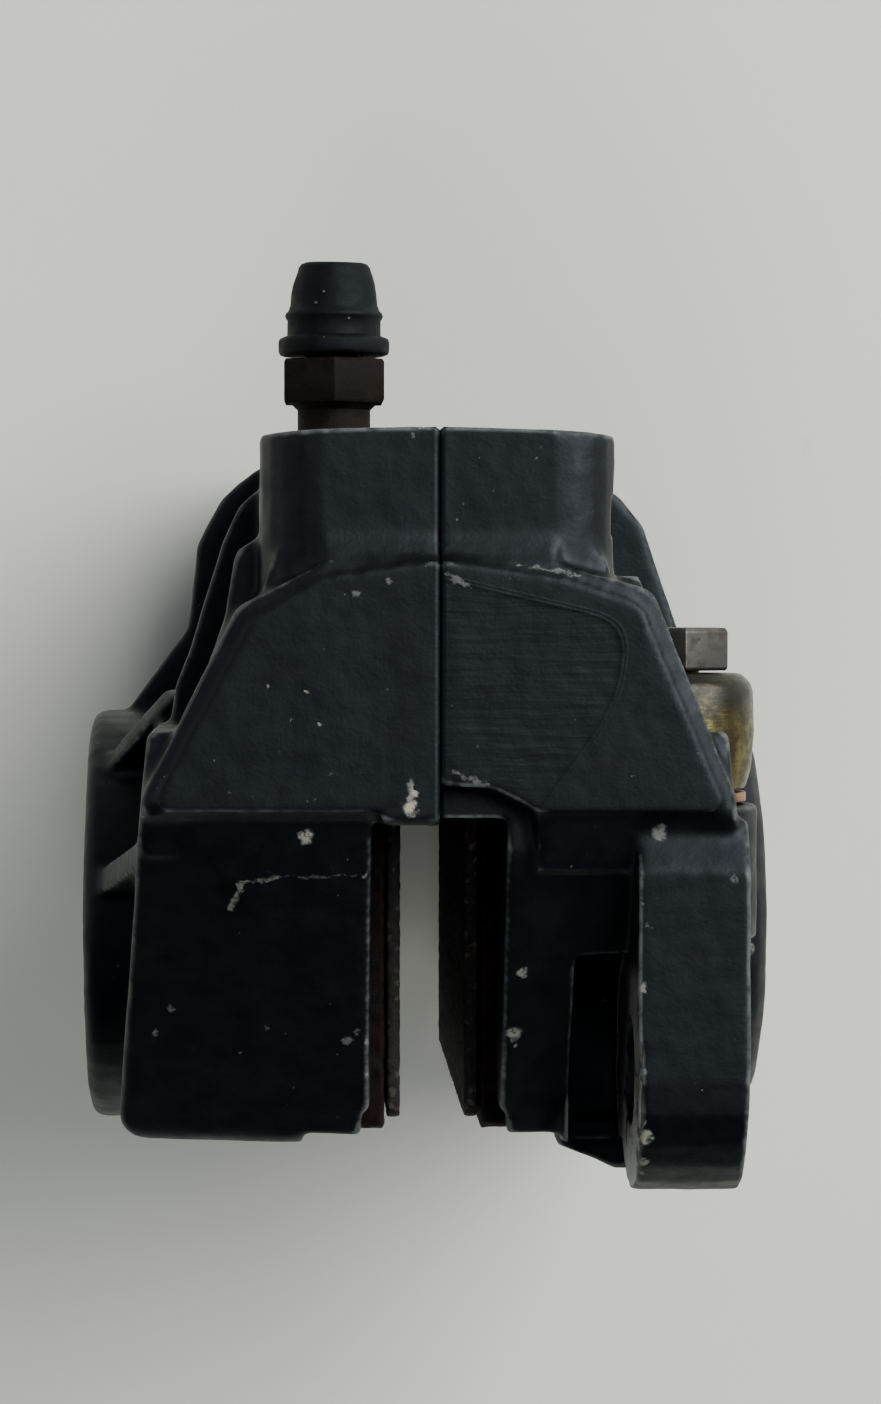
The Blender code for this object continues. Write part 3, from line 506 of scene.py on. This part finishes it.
def paint_surface(node, milled):
    """Satin black paint on a casting; a milled one also has bare lug faces and a lined patch."""
    s = Surface(node + "_paint")
    across = s.math("ABSOLUTE", s.axis("X"))
    edge = s.times(s.attribute("edge"), s.step(across, 0.5 * MM, 1.1 * MM, 0.62, 1.0))
    grain = s.noise(0.45 * MM, 3.0, 0.6)
    marks = paint_marks(s, node, edge, s.wobble(0.9 * MM, 1.3 * MM))
    colour = paint_colour(s, edge, grain, marks)
    normal = paint_relief(s, grain, marks, milled)
    roughness = s.step(s.noise(3 * MM, 3.0), 0.3, 0.7, 0.45, 0.57)
    roughness = s.blend_value(marks, roughness, 0.75)
    metal = 0.0
    if milled:
        metal = s.times(machined_lug(s), s.step(s.noise(3.5 * MM, 4.0, 0.7), 0.36, 0.5))
        colour = s.mix(metal, colour, MILLED_METAL)
    return s.finish(colour, roughness, metal, normal, Specular_IOR_Level=PAINT_GLOSS,
                    Specular_Tint=PAINT_SHEEN)


def patch_edge(s):
    """How far a point lies outside the D-shaped patch; it is negative inside."""
    x = s.axis("X")
    y = s.axis("Y")
    outside = None
    for across, up, reach in PATCH_SIDES:
        side = s.math("ADD", s.times(x, across), s.times(y, up))
        side = s.math("SUBTRACT", side, reach * MM)
        outside = side if outside is None else s.math("SMOOTH_MAX", outside, side, PATCH_ROUND)
    return outside


def patch_distance(x, y):
    """The distance that patch_edge gives, for one point."""
    outside = None
    for across, up, reach in PATCH_SIDES:
        side = across * x + up * y - reach * MM
        if outside is None:
            outside = side
            continue
        blend = max(PATCH_ROUND - abs(outside - side), 0.0) / PATCH_ROUND
        outside = max(outside, side) + blend ** 3 * PATCH_ROUND / 6
    return outside


def striations(s):
    """Shallow milled lines inside a D-shaped patch of the inner half's end face."""
    away = patch_edge(s)
    inside = s.step(away, 0.0, -0.3 * MM)
    rim = s.times(s.step(away, -0.5 * MM, -0.1 * MM), s.step(away, 0.35 * MM, 0.1 * MM))
    facing = s.step(s.axis("Z"), TOP - 0.5 * MM, TOP - 0.25 * MM)
    lines = s.noise(0.9 * MM, 2.0, 0.5, s.stretch(0.06, 1.0, 0.0, s.wobble(4 * MM, 0.8 * MM)))
    total = s.math("ADD", s.times(inside, lines, 1.7), s.times(rim, 0.5))
    return s.times(total, facing)


def machined_lug(s):
    """1 on the lugs' milled faces, which look towards the disc."""
    facing = s.step(s.axis("X", s.normal()), -0.8, -0.95)
    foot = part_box("inner_half")[0][1]
    low = s.step(s.axis("Y"), foot + MILLED_HEIGHT, foot + MILLED_HEIGHT - MILLED_HEIGHT_RIM)
    start, end = MILLED_X
    wide = s.step(s.axis("X"), start, start + MILLED_X_RIM)
    narrow = s.step(s.axis("X"), end, end - MILLED_X_RIM)
    return s.times(facing, low, wide, narrow)


def rust_surface(name, dark, light):
    """Surface rust: blotches of two browns over steel, pitted."""
    s = Surface(name)
    blotch = s.noise(2.4 * MM, 6.0, 0.7)
    fine = s.noise(0.35 * MM, 4.0, 0.7)
    colour = s.mix(s.step(blotch, 0.38, 0.62), dark, light)
    colour = s.mix(s.math("MULTIPLY", s.step(fine, 0.55, 0.75), 0.5), colour, RUST_PIT)
    edge = s.step(s.attribute("edge"), 0.35, 0.8)
    colour = s.mix(s.math("MULTIPLY", edge, 0.25), colour, RUST_EDGE)
    height = s.math("ADD", s.math("MULTIPLY", blotch, 0.7), fine)
    normal = s.bump(height, 0.09 * MM, 1.0)
    return s.finish(colour, s.step(blotch, 0.3, 0.7, 0.58, 0.85), 0.0, normal,
                    Specular_IOR_Level=0.14)


def lining_surface():
    """Friction lining: dark, speckled, and scored along the disc's travel."""
    s = Surface("friction_lining")
    grit, random = s.cells(0.5 * MM)
    score = s.noise(0.7 * MM, 4.0, 0.7, s.stretch(1.0, 1.0, 0.04))
    colour = s.mix(s.step(score, 0.35, 0.65), *LINING_COLOURS)
    shiny = s.step(s.axis("X", random), 0.90, 0.94)
    colour = s.mix(s.math("MULTIPLY", shiny, 0.35), colour, LINING_GRIT)
    height = s.math("ADD", s.math("MULTIPLY", score, 1.2), s.math("MULTIPLY", grit, 0.5))
    return s.finish(colour, s.step(score, 0.3, 0.7, 0.70, 0.92), 0.0, s.bump(height, 0.12 * MM))


def rubber_surface(name, dust):
    """Matt rubber with a grey bloom and a few dust specks."""
    s = Surface(name)
    bloom = s.noise(2.2 * MM, 5.0, 0.65)
    fine = s.noise(0.3 * MM, 3.0, 0.6)
    colour = s.mix(s.step(bloom, 0.35, 0.75), *RUBBER_COLOURS)
    distance, random = s.cells(0.9 * MM)
    fleck = s.math("MULTIPLY", s.step(s.axis("X", random), 0.94, 0.96), s.step(distance, 0.2, 0.1))
    colour = s.mix(s.math("MULTIPLY", fleck, dust), colour, RUBBER_DUST)
    edge = s.step(s.attribute("edge"), 0.35, 0.9)
    colour = s.mix(s.math("MULTIPLY", edge, 0.25), colour, RUBBER_EDGE)
    normal = s.bump(s.math("ADD", bloom, s.math("MULTIPLY", fine, 0.6)), 0.05 * MM)
    return s.finish(colour, s.step(bloom, 0.3, 0.7, 0.55, 0.75), 0.0, normal,
                    Specular_IOR_Level=0.18, Specular_Tint=PAINT_SHEEN)


def metal_surface(name, dark, light, rough_low, rough_high, streak=(1.0, 1.0, 1.0), pits=0.3):
    """Bare or plated metal with streaks, tarnish and small pits."""
    s = Surface(name)
    tarnish = s.noise(3.2 * MM, 5.0, 0.65)
    lines = s.noise(0.3 * MM, 3.0, 0.6, s.stretch(*streak))
    colour = s.mix(s.step(tarnish, 0.36, 0.66), light, dark)
    spot, random = s.cells(0.8 * MM)
    pit = s.math("MULTIPLY", s.step(s.axis("X", random), 1.0 - pits * 0.3, 1.0), s.step(spot, 0.3, 0.15))
    colour = s.mix(s.math("MULTIPLY", pit, 0.7), colour, METAL_PIT)
    height = s.math("SUBTRACT", s.math("MULTIPLY", lines, 0.8), pit)
    rough = s.step(tarnish, 0.3, 0.7, rough_low, rough_high)
    return s.finish(colour, rough, 1.0, s.bump(height, 0.02 * MM, 0.8))


def brass_surface():
    """Yellow brass, dark in its blotches, and grey towards its top as painted shade for the dark
    reflection there.
    """
    s = Surface("brass_painted_dark_top")
    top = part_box("inlet_union")[1][1]
    blotch = s.noise(2.0 * MM, 5.0, 0.7)
    # Painted shade: a ragged grey band over the top stands in for the dark reflection there
    height = s.math("ADD", s.axis("Y"), s.math("MULTIPLY", blotch, 4 * MM))
    grey = s.step(height, top - 4.5 * MM, top - 0.5 * MM)
    colour = s.mix(s.step(blotch, 0.35, 0.65), *BRASS_COLOURS)
    colour = s.mix(s.times(grey, 0.9), colour, BRASS_TOP_SHADE)
    lines = s.noise(0.35 * MM, 3.0, 0.6, s.stretch(0.15, 1.0, 0.15))
    rough = s.step(blotch, 0.3, 0.7, 0.30, 0.52)
    return s.finish(colour, rough, 0.95, s.bump(s.math("ADD", lines, blotch), 0.03 * MM))


def floor_surface():
    """Pale table top, faintly clouded and stained."""
    s = Surface("pale_table")
    cloud = s.noise(90 * MM, 4.0, 0.6)
    fine = s.noise(0.9 * MM, 2.0)
    colour = s.mix(cloud, *FLOOR_COLOURS)
    stain, random = s.cells(26 * MM, s.wobble(8 * MM, 6 * MM))
    faint = s.math("MULTIPLY", s.step(s.axis("X", random), 0.9, 0.95), s.step(stain, 0.05, 0.02))
    colour = s.mix(s.math("MULTIPLY", faint, 0.35), colour, FLOOR_STAIN)
    return s.finish(colour, 0.62, 0.0, s.bump(fine, 0.02 * MM, 0.5))


# ---------------------------------------------------------------- mesh tools

def new_piece(name, mesh, material):
    """An object of one mesh and one material."""
    mesh.materials.clear()
    mesh.materials.append(material)
    piece = bpy.data.objects.new(name, mesh)
    bpy.context.scene.collection.objects.link(piece)
    return piece


def copied_mesh(node):
    """A merged copy of a node's mesh, with its triangles joined back into flat faces."""
    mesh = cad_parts[node].data.copy()
    shape = bmesh.new()
    shape.from_mesh(mesh)
    bmesh.ops.remove_doubles(shape, verts=shape.verts, dist=MERGE_DISTANCE)
    bmesh.ops.dissolve_limit(shape, angle_limit=FLAT_ANGLE, verts=shape.verts,
                             edges=shape.edges)
    shape.to_mesh(mesh)
    shape.free()
    return mesh


def baked(piece):
    """Applies the piece's modifiers to its mesh."""
    graph = bpy.context.evaluated_depsgraph_get()
    mesh = bpy.data.meshes.new_from_object(piece.evaluated_get(graph))
    piece.modifiers.clear()
    piece.data = mesh
    return mesh


def mark_edges(mesh, scale):
    """Stores how sharply the surface turns outwards at each point, as attribute edge."""
    count = len(mesh.vertices)
    points = np.empty(count * 3)
    mesh.vertices.foreach_get("co", points)
    points = points.reshape(-1, 3)
    normals = np.empty(count * 3)
    mesh.vertices.foreach_get("normal", normals)
    normals = normals.reshape(-1, 3)
    pairs = np.empty(len(mesh.edges) * 2, dtype=np.int64)
    mesh.edges.foreach_get("vertices", pairs)
    pairs = pairs.reshape(-1, 2)
    bend = np.zeros(count)
    weight = np.zeros(count)
    for first, second in ((0, 1), (1, 0)):
        start = pairs[:, first]
        along = points[pairs[:, second]] - points[start]
        length = np.maximum(np.linalg.norm(along, axis=1), 1e-9)
        drop = -np.einsum("ij,ij->i", along, normals[start]) / length ** 2
        np.add.at(bend, start, drop)
        np.add.at(weight, start, 1.0)
    value = np.clip(bend / np.maximum(weight, 1.0) * scale, 0.0, 1.4)
    for _ in range(EDGE_ROUNDS):
        total = value.copy()
        np.add.at(total, pairs[:, 0], value[pairs[:, 1]])
        np.add.at(total, pairs[:, 1], value[pairs[:, 0]])
        value = total / (weight + 1.0)
    value = np.clip(value * EDGE_GAIN, 0.0, 1.0)
    attribute = mesh.attributes.new("edge", "FLOAT", "POINT")
    attribute.data.foreach_set("value", value)


def ruffle(mesh, size, amount, seed):
    """Moves each point along its normal by smooth noise."""
    shift = Vector((seed, seed * 1.7, -seed))
    normals = [vertex.normal.copy() for vertex in mesh.vertices]
    for vertex, normal in zip(mesh.vertices, normals):
        vertex.co += normal * noise.noise(vertex.co / size + shift) * amount


def smooth_shade(mesh, angle=40):
    """Smooth shading that stays sharp over edges of more than angle degrees."""
    mesh.shade_smooth()
    mesh.set_sharp_from_angle(angle=math.radians(angle))


def cast_skin(node, skin, material, extra=None):
    """A node remade as one even skin with its edges rounded off, as a casting has them."""
    voxel, rounds, ruffles = skin
    mesh = copied_mesh(node)
    if extra:
        extra(mesh)
    piece = new_piece(node + "_skin", mesh, material)
    remesh = piece.modifiers.new("even", "REMESH")
    remesh.mode = "VOXEL"
    remesh.voxel_size = voxel
    remesh.adaptivity = 0.0
    soften = piece.modifiers.new("soften", "SMOOTH")
    soften.factor = 0.5
    soften.iterations = rounds
    mesh = baked(piece)
    for size, amount, seed in ruffles:
        ruffle(mesh, size, amount, seed)
    mesh.shade_smooth()
    return piece


def refined(node, material, bevel=0.15 * MM, segments=2):
    """A copy of a node with every sharp edge rounded by a small bevel."""
    mesh = copied_mesh(node)
    shape = bmesh.new()
    shape.from_mesh(mesh)
    sharp = [edge for edge in shape.edges
             if edge.is_manifold and edge.calc_face_angle(0.0) > SHARP_ANGLE]
    bmesh.ops.bevel(shape, geom=sharp, offset=bevel, offset_type="OFFSET", segments=segments,
                    profile=0.6, affect="EDGES", clamp_overlap=True)
    shape.to_mesh(mesh)
    shape.free()
    piece = new_piece(node + "_piece", mesh, material)
    smooth_shade(mesh)
    return piece


def turned(name, profile, centre, material):
    """Turns a closed profile of (height, radius), in millimetres, about the Y axis."""
    vertices = []
    faces = []
    for height, radius in profile:
        for step in range(TURN_STEPS):
            angle = 2 * math.pi * step / TURN_STEPS
            x = radius * math.cos(angle) * MM
            z = radius * math.sin(angle) * MM
            vertices.append(centre + Vector((x, height * MM, z)))
    rings = len(profile)
    for ring in range(rings):
        for step in range(TURN_STEPS):
            after = (step + 1) % TURN_STEPS
            low = ring * TURN_STEPS
            high = ((ring + 1) % rings) * TURN_STEPS
            faces.append((low + step, low + after, high + after, high + step))
    mesh = bpy.data.meshes.new(name)
    mesh.from_pydata(vertices, [], faces)
    shape = bmesh.new()
    shape.from_mesh(mesh)
    bmesh.ops.recalc_face_normals(shape, faces=shape.faces)
    shape.to_mesh(mesh)
    shape.free()
    smooth_shade(mesh, 50)
    return new_piece(name, mesh, material)


def place_piece(piece, body, slot, *nodes, edge_scale=None):
    """Sets a piece on its body in place of its nodes; edge_scale marks its convex edges, for wear and,
    on the paint, a painted highlight.
    """
    if edge_scale:
        mark_edges(piece.data, edge_scale)
    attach(piece, body)
    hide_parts(*nodes)


# ---------------------------------------------------------------- the pieces

def add_roots(mesh):
    """Adds the webs that tie the feet of the inner half's legs to its lugs."""
    shape = bmesh.new()
    shape.from_mesh(mesh)
    for start, inward in ((LOW.z, 1), (TOP, -1)):
        rings = [[shape.verts.new((x * MM, y * MM, start + inward * reach * MM))
                  for x, y in ROOT_OUTLINE] for reach in ROOT_REACH]
        for ring in rings:
            shape.faces.new(ring)
        for index, (low, high) in enumerate(zip(*rings)):
            shape.faces.new((rings[0][index - 1], low, high, rings[1][index - 1]))
    bmesh.ops.recalc_face_normals(shape, faces=shape.faces)
    shape.to_mesh(mesh)
    shape.free()


def crown_tower(mesh):
    """The tower's top is slightly domed across the caliper."""
    start = TOWER_TOP - CROWN_HEIGHT
    for vertex in mesh.vertices:
        if vertex.co.y > start:
            share = min((vertex.co.y - start) / CROWN_HEIGHT, 1.0)
            vertex.co.y -= share * CROWN_DROP * (vertex.co.x / TOWER_HALF) ** 2


def sharpen_joint(mesh, node):
    """Brings the softened edges along the mating face back to the CAD's sharp corner."""
    tree = surface_tree(node)
    for vertex in mesh.vertices:
        share = 1.0 - abs(vertex.co.x) / JOINT_DEPTH
        if share > 0.0:
            nearest = tree.find_nearest(vertex.co)[0]
            vertex.co = vertex.co.lerp(nearest, min(share * 1.6, 1.0))


def mill_patch(mesh):
    """Sinks the D-shaped patch a little into the inner half's end face."""
    for vertex in mesh.vertices:
        if vertex.co.z > TOP - 0.35 * MM and vertex.co.x > 0.0:
            share = -patch_distance(vertex.co.x, vertex.co.y) / (0.5 * MM)
            vertex.co.z -= PATCH_DEPTH * min(max(share, 0.0), 1.0)


def close_joint(mesh):
    """Brings the mating faces of the two halves together, to a thin parting line."""
    for vertex in mesh.vertices:
        away = abs(vertex.co.x)
        if away < JOINT_DEPTH:
            shift = JOINT_SHIFT * (1.0 - away / JOINT_DEPTH)
            vertex.co.x -= math.copysign(shift, vertex.co.x)


def make_castings():
    """The two painted halves."""
    for node in ("outer_half", "inner_half"):
        inner = node == "inner_half"
        material = paint_surface(node, inner)
        skin = cast_skin(node, CASTING_SKIN, material, add_roots if inner else None)
        sharpen_joint(skin.data, node)
        if inner:
            mill_patch(skin.data)
        crown_tower(skin.data)
        close_joint(skin.data)
        place_piece(skin, "caliper_body", "black_paint", node, edge_scale=1.5 * MM)


def make_pads():
    """Rusty backing plates with their linings."""
    steel = rust_surface("rusted_backing_plate", *PLATE_RUST)
    lining = lining_surface()
    for side in ("outer", "inner"):
        plate = cast_skin(side + "_pad_plate", PLATE_SKIN, steel)
        place_piece(plate, side + "_pad", "rusty_steel", side + "_pad_plate", edge_scale=0.9 * MM)
        block = cast_skin(side + "_pad_lining", LINING_SKIN, lining)
        place_piece(block, side + "_pad", "lining", side + "_pad_lining")


def make_hydraulics():
    """Pistons and every rubber seal."""
    chrome = metal_surface("ground_chrome", *CHROME, 0.24, 0.42, (1.0, 0.05, 0.05), 0.2)
    rubber = rubber_surface("seal_rubber", 0.1)
    for side in ("outer", "inner"):
        piston = refined(side + "_piston", chrome, 0.3 * MM, 3)
        place_piece(piston, side + "_piston_body", "chrome", side + "_piston")
        for seal in ("_piston_seal", "_dust_seal"):
            piece = refined(side + seal, rubber, 0.25 * MM)
            place_piece(piece, "caliper_body", "rubber", side + seal, edge_scale=0.5 * MM)
    ring = refined("crossover_seal", rubber, 0.05 * MM)
    place_piece(ring, "caliper_body", "rubber", "crossover_seal", edge_scale=0.5 * MM)


def make_fasteners():
    """Body bolts, pad pins, springs and clips."""
    bolt = metal_surface("blackened_steel", *BOLT_STEEL, 0.42, 0.65)
    zinc = metal_surface("dull_zinc", *ZINC, 0.32, 0.55)
    for index in range(1, 5):
        node = f"body_bolt_{index}"
        place_piece(refined(node, bolt, 0.25 * MM, 3), "caliper_body", "dark_steel", node)
    for end in ("near", "far"):
        for kind, bevel in (("pad_pin_", 0.2 * MM), ("pad_spring_", 0.1 * MM),
                            ("pin_clip_", 0.05 * MM)):
            node = kind + end
            place_piece(refined(node, zinc, bevel), "caliper_body", "plated_steel", node)


def make_bleeder():
    """The bleed screw and its rubber cap."""
    rust = rust_surface("rusted_bleed_screw", *SCREW_RUST)
    screw = refined("bleed_screw", rust, 0.35 * MM, 3)
    place_piece(screw, "bleeder", "dark_steel", "bleed_screw")
    low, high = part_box("bleed_dust_cap")
    centre = Vector(((low[0] + high[0]) / 2, 0.0, (low[2] + high[2]) / 2))
    cap = turned("bleed_cap_rubber", CAP_OUTSIDE + CAP_BORE, centre,
                 rubber_surface("cap_rubber", 0.6))
    ruffle(cap.data, 3.0 * MM, 0.12 * MM, 5.5)
    place_piece(cap, "bleeder_cap", "rubber", "bleed_dust_cap", edge_scale=0.8 * MM)


def make_inlet():
    """The fluid inlet: brass union, copper washer and steel plug."""
    copper = metal_surface("soft_copper", *COPPER, 0.3, 0.5)
    steel = metal_surface("grey_steel", *PLUG_STEEL, 0.40, 0.62)
    union = refined("inlet_union", brass_surface(), 0.4 * MM, 3)
    place_piece(union, "caliper_body", "yellow_brass", "inlet_union")
    washer = refined("inlet_washer", copper, 0.1 * MM)
    place_piece(washer, "caliper_body", "copper", "inlet_washer")
    plug = refined("inlet_plug", steel, 0.35 * MM, 3)
    place_piece(plug, "caliper_body", "dark_steel", "inlet_plug")


def make_floor():
    """The table that the caliper stands on."""
    mesh = bpy.data.meshes.new("table")
    corners = [(x * FLOOR_HALF, y * FLOOR_HALF, 0.0) for x, y in ((-1, -1), (1, -1), (1, 1), (-1, 1))]
    mesh.from_pydata(corners, [], [(0, 1, 2, 3)])
    floor = new_piece("table", mesh, floor_surface())
    floor.location.z = LOW.z - FLOOR_DROP


def main():
    """Builds the setting and every piece."""
    make_camera()
    make_world()
    for light in LIGHTS:
        make_area_light(*light)
    make_floor()
    make_castings()
    make_pads()
    make_hydraulics()
    make_fasteners()
    make_bleeder()
    make_inlet()


main()
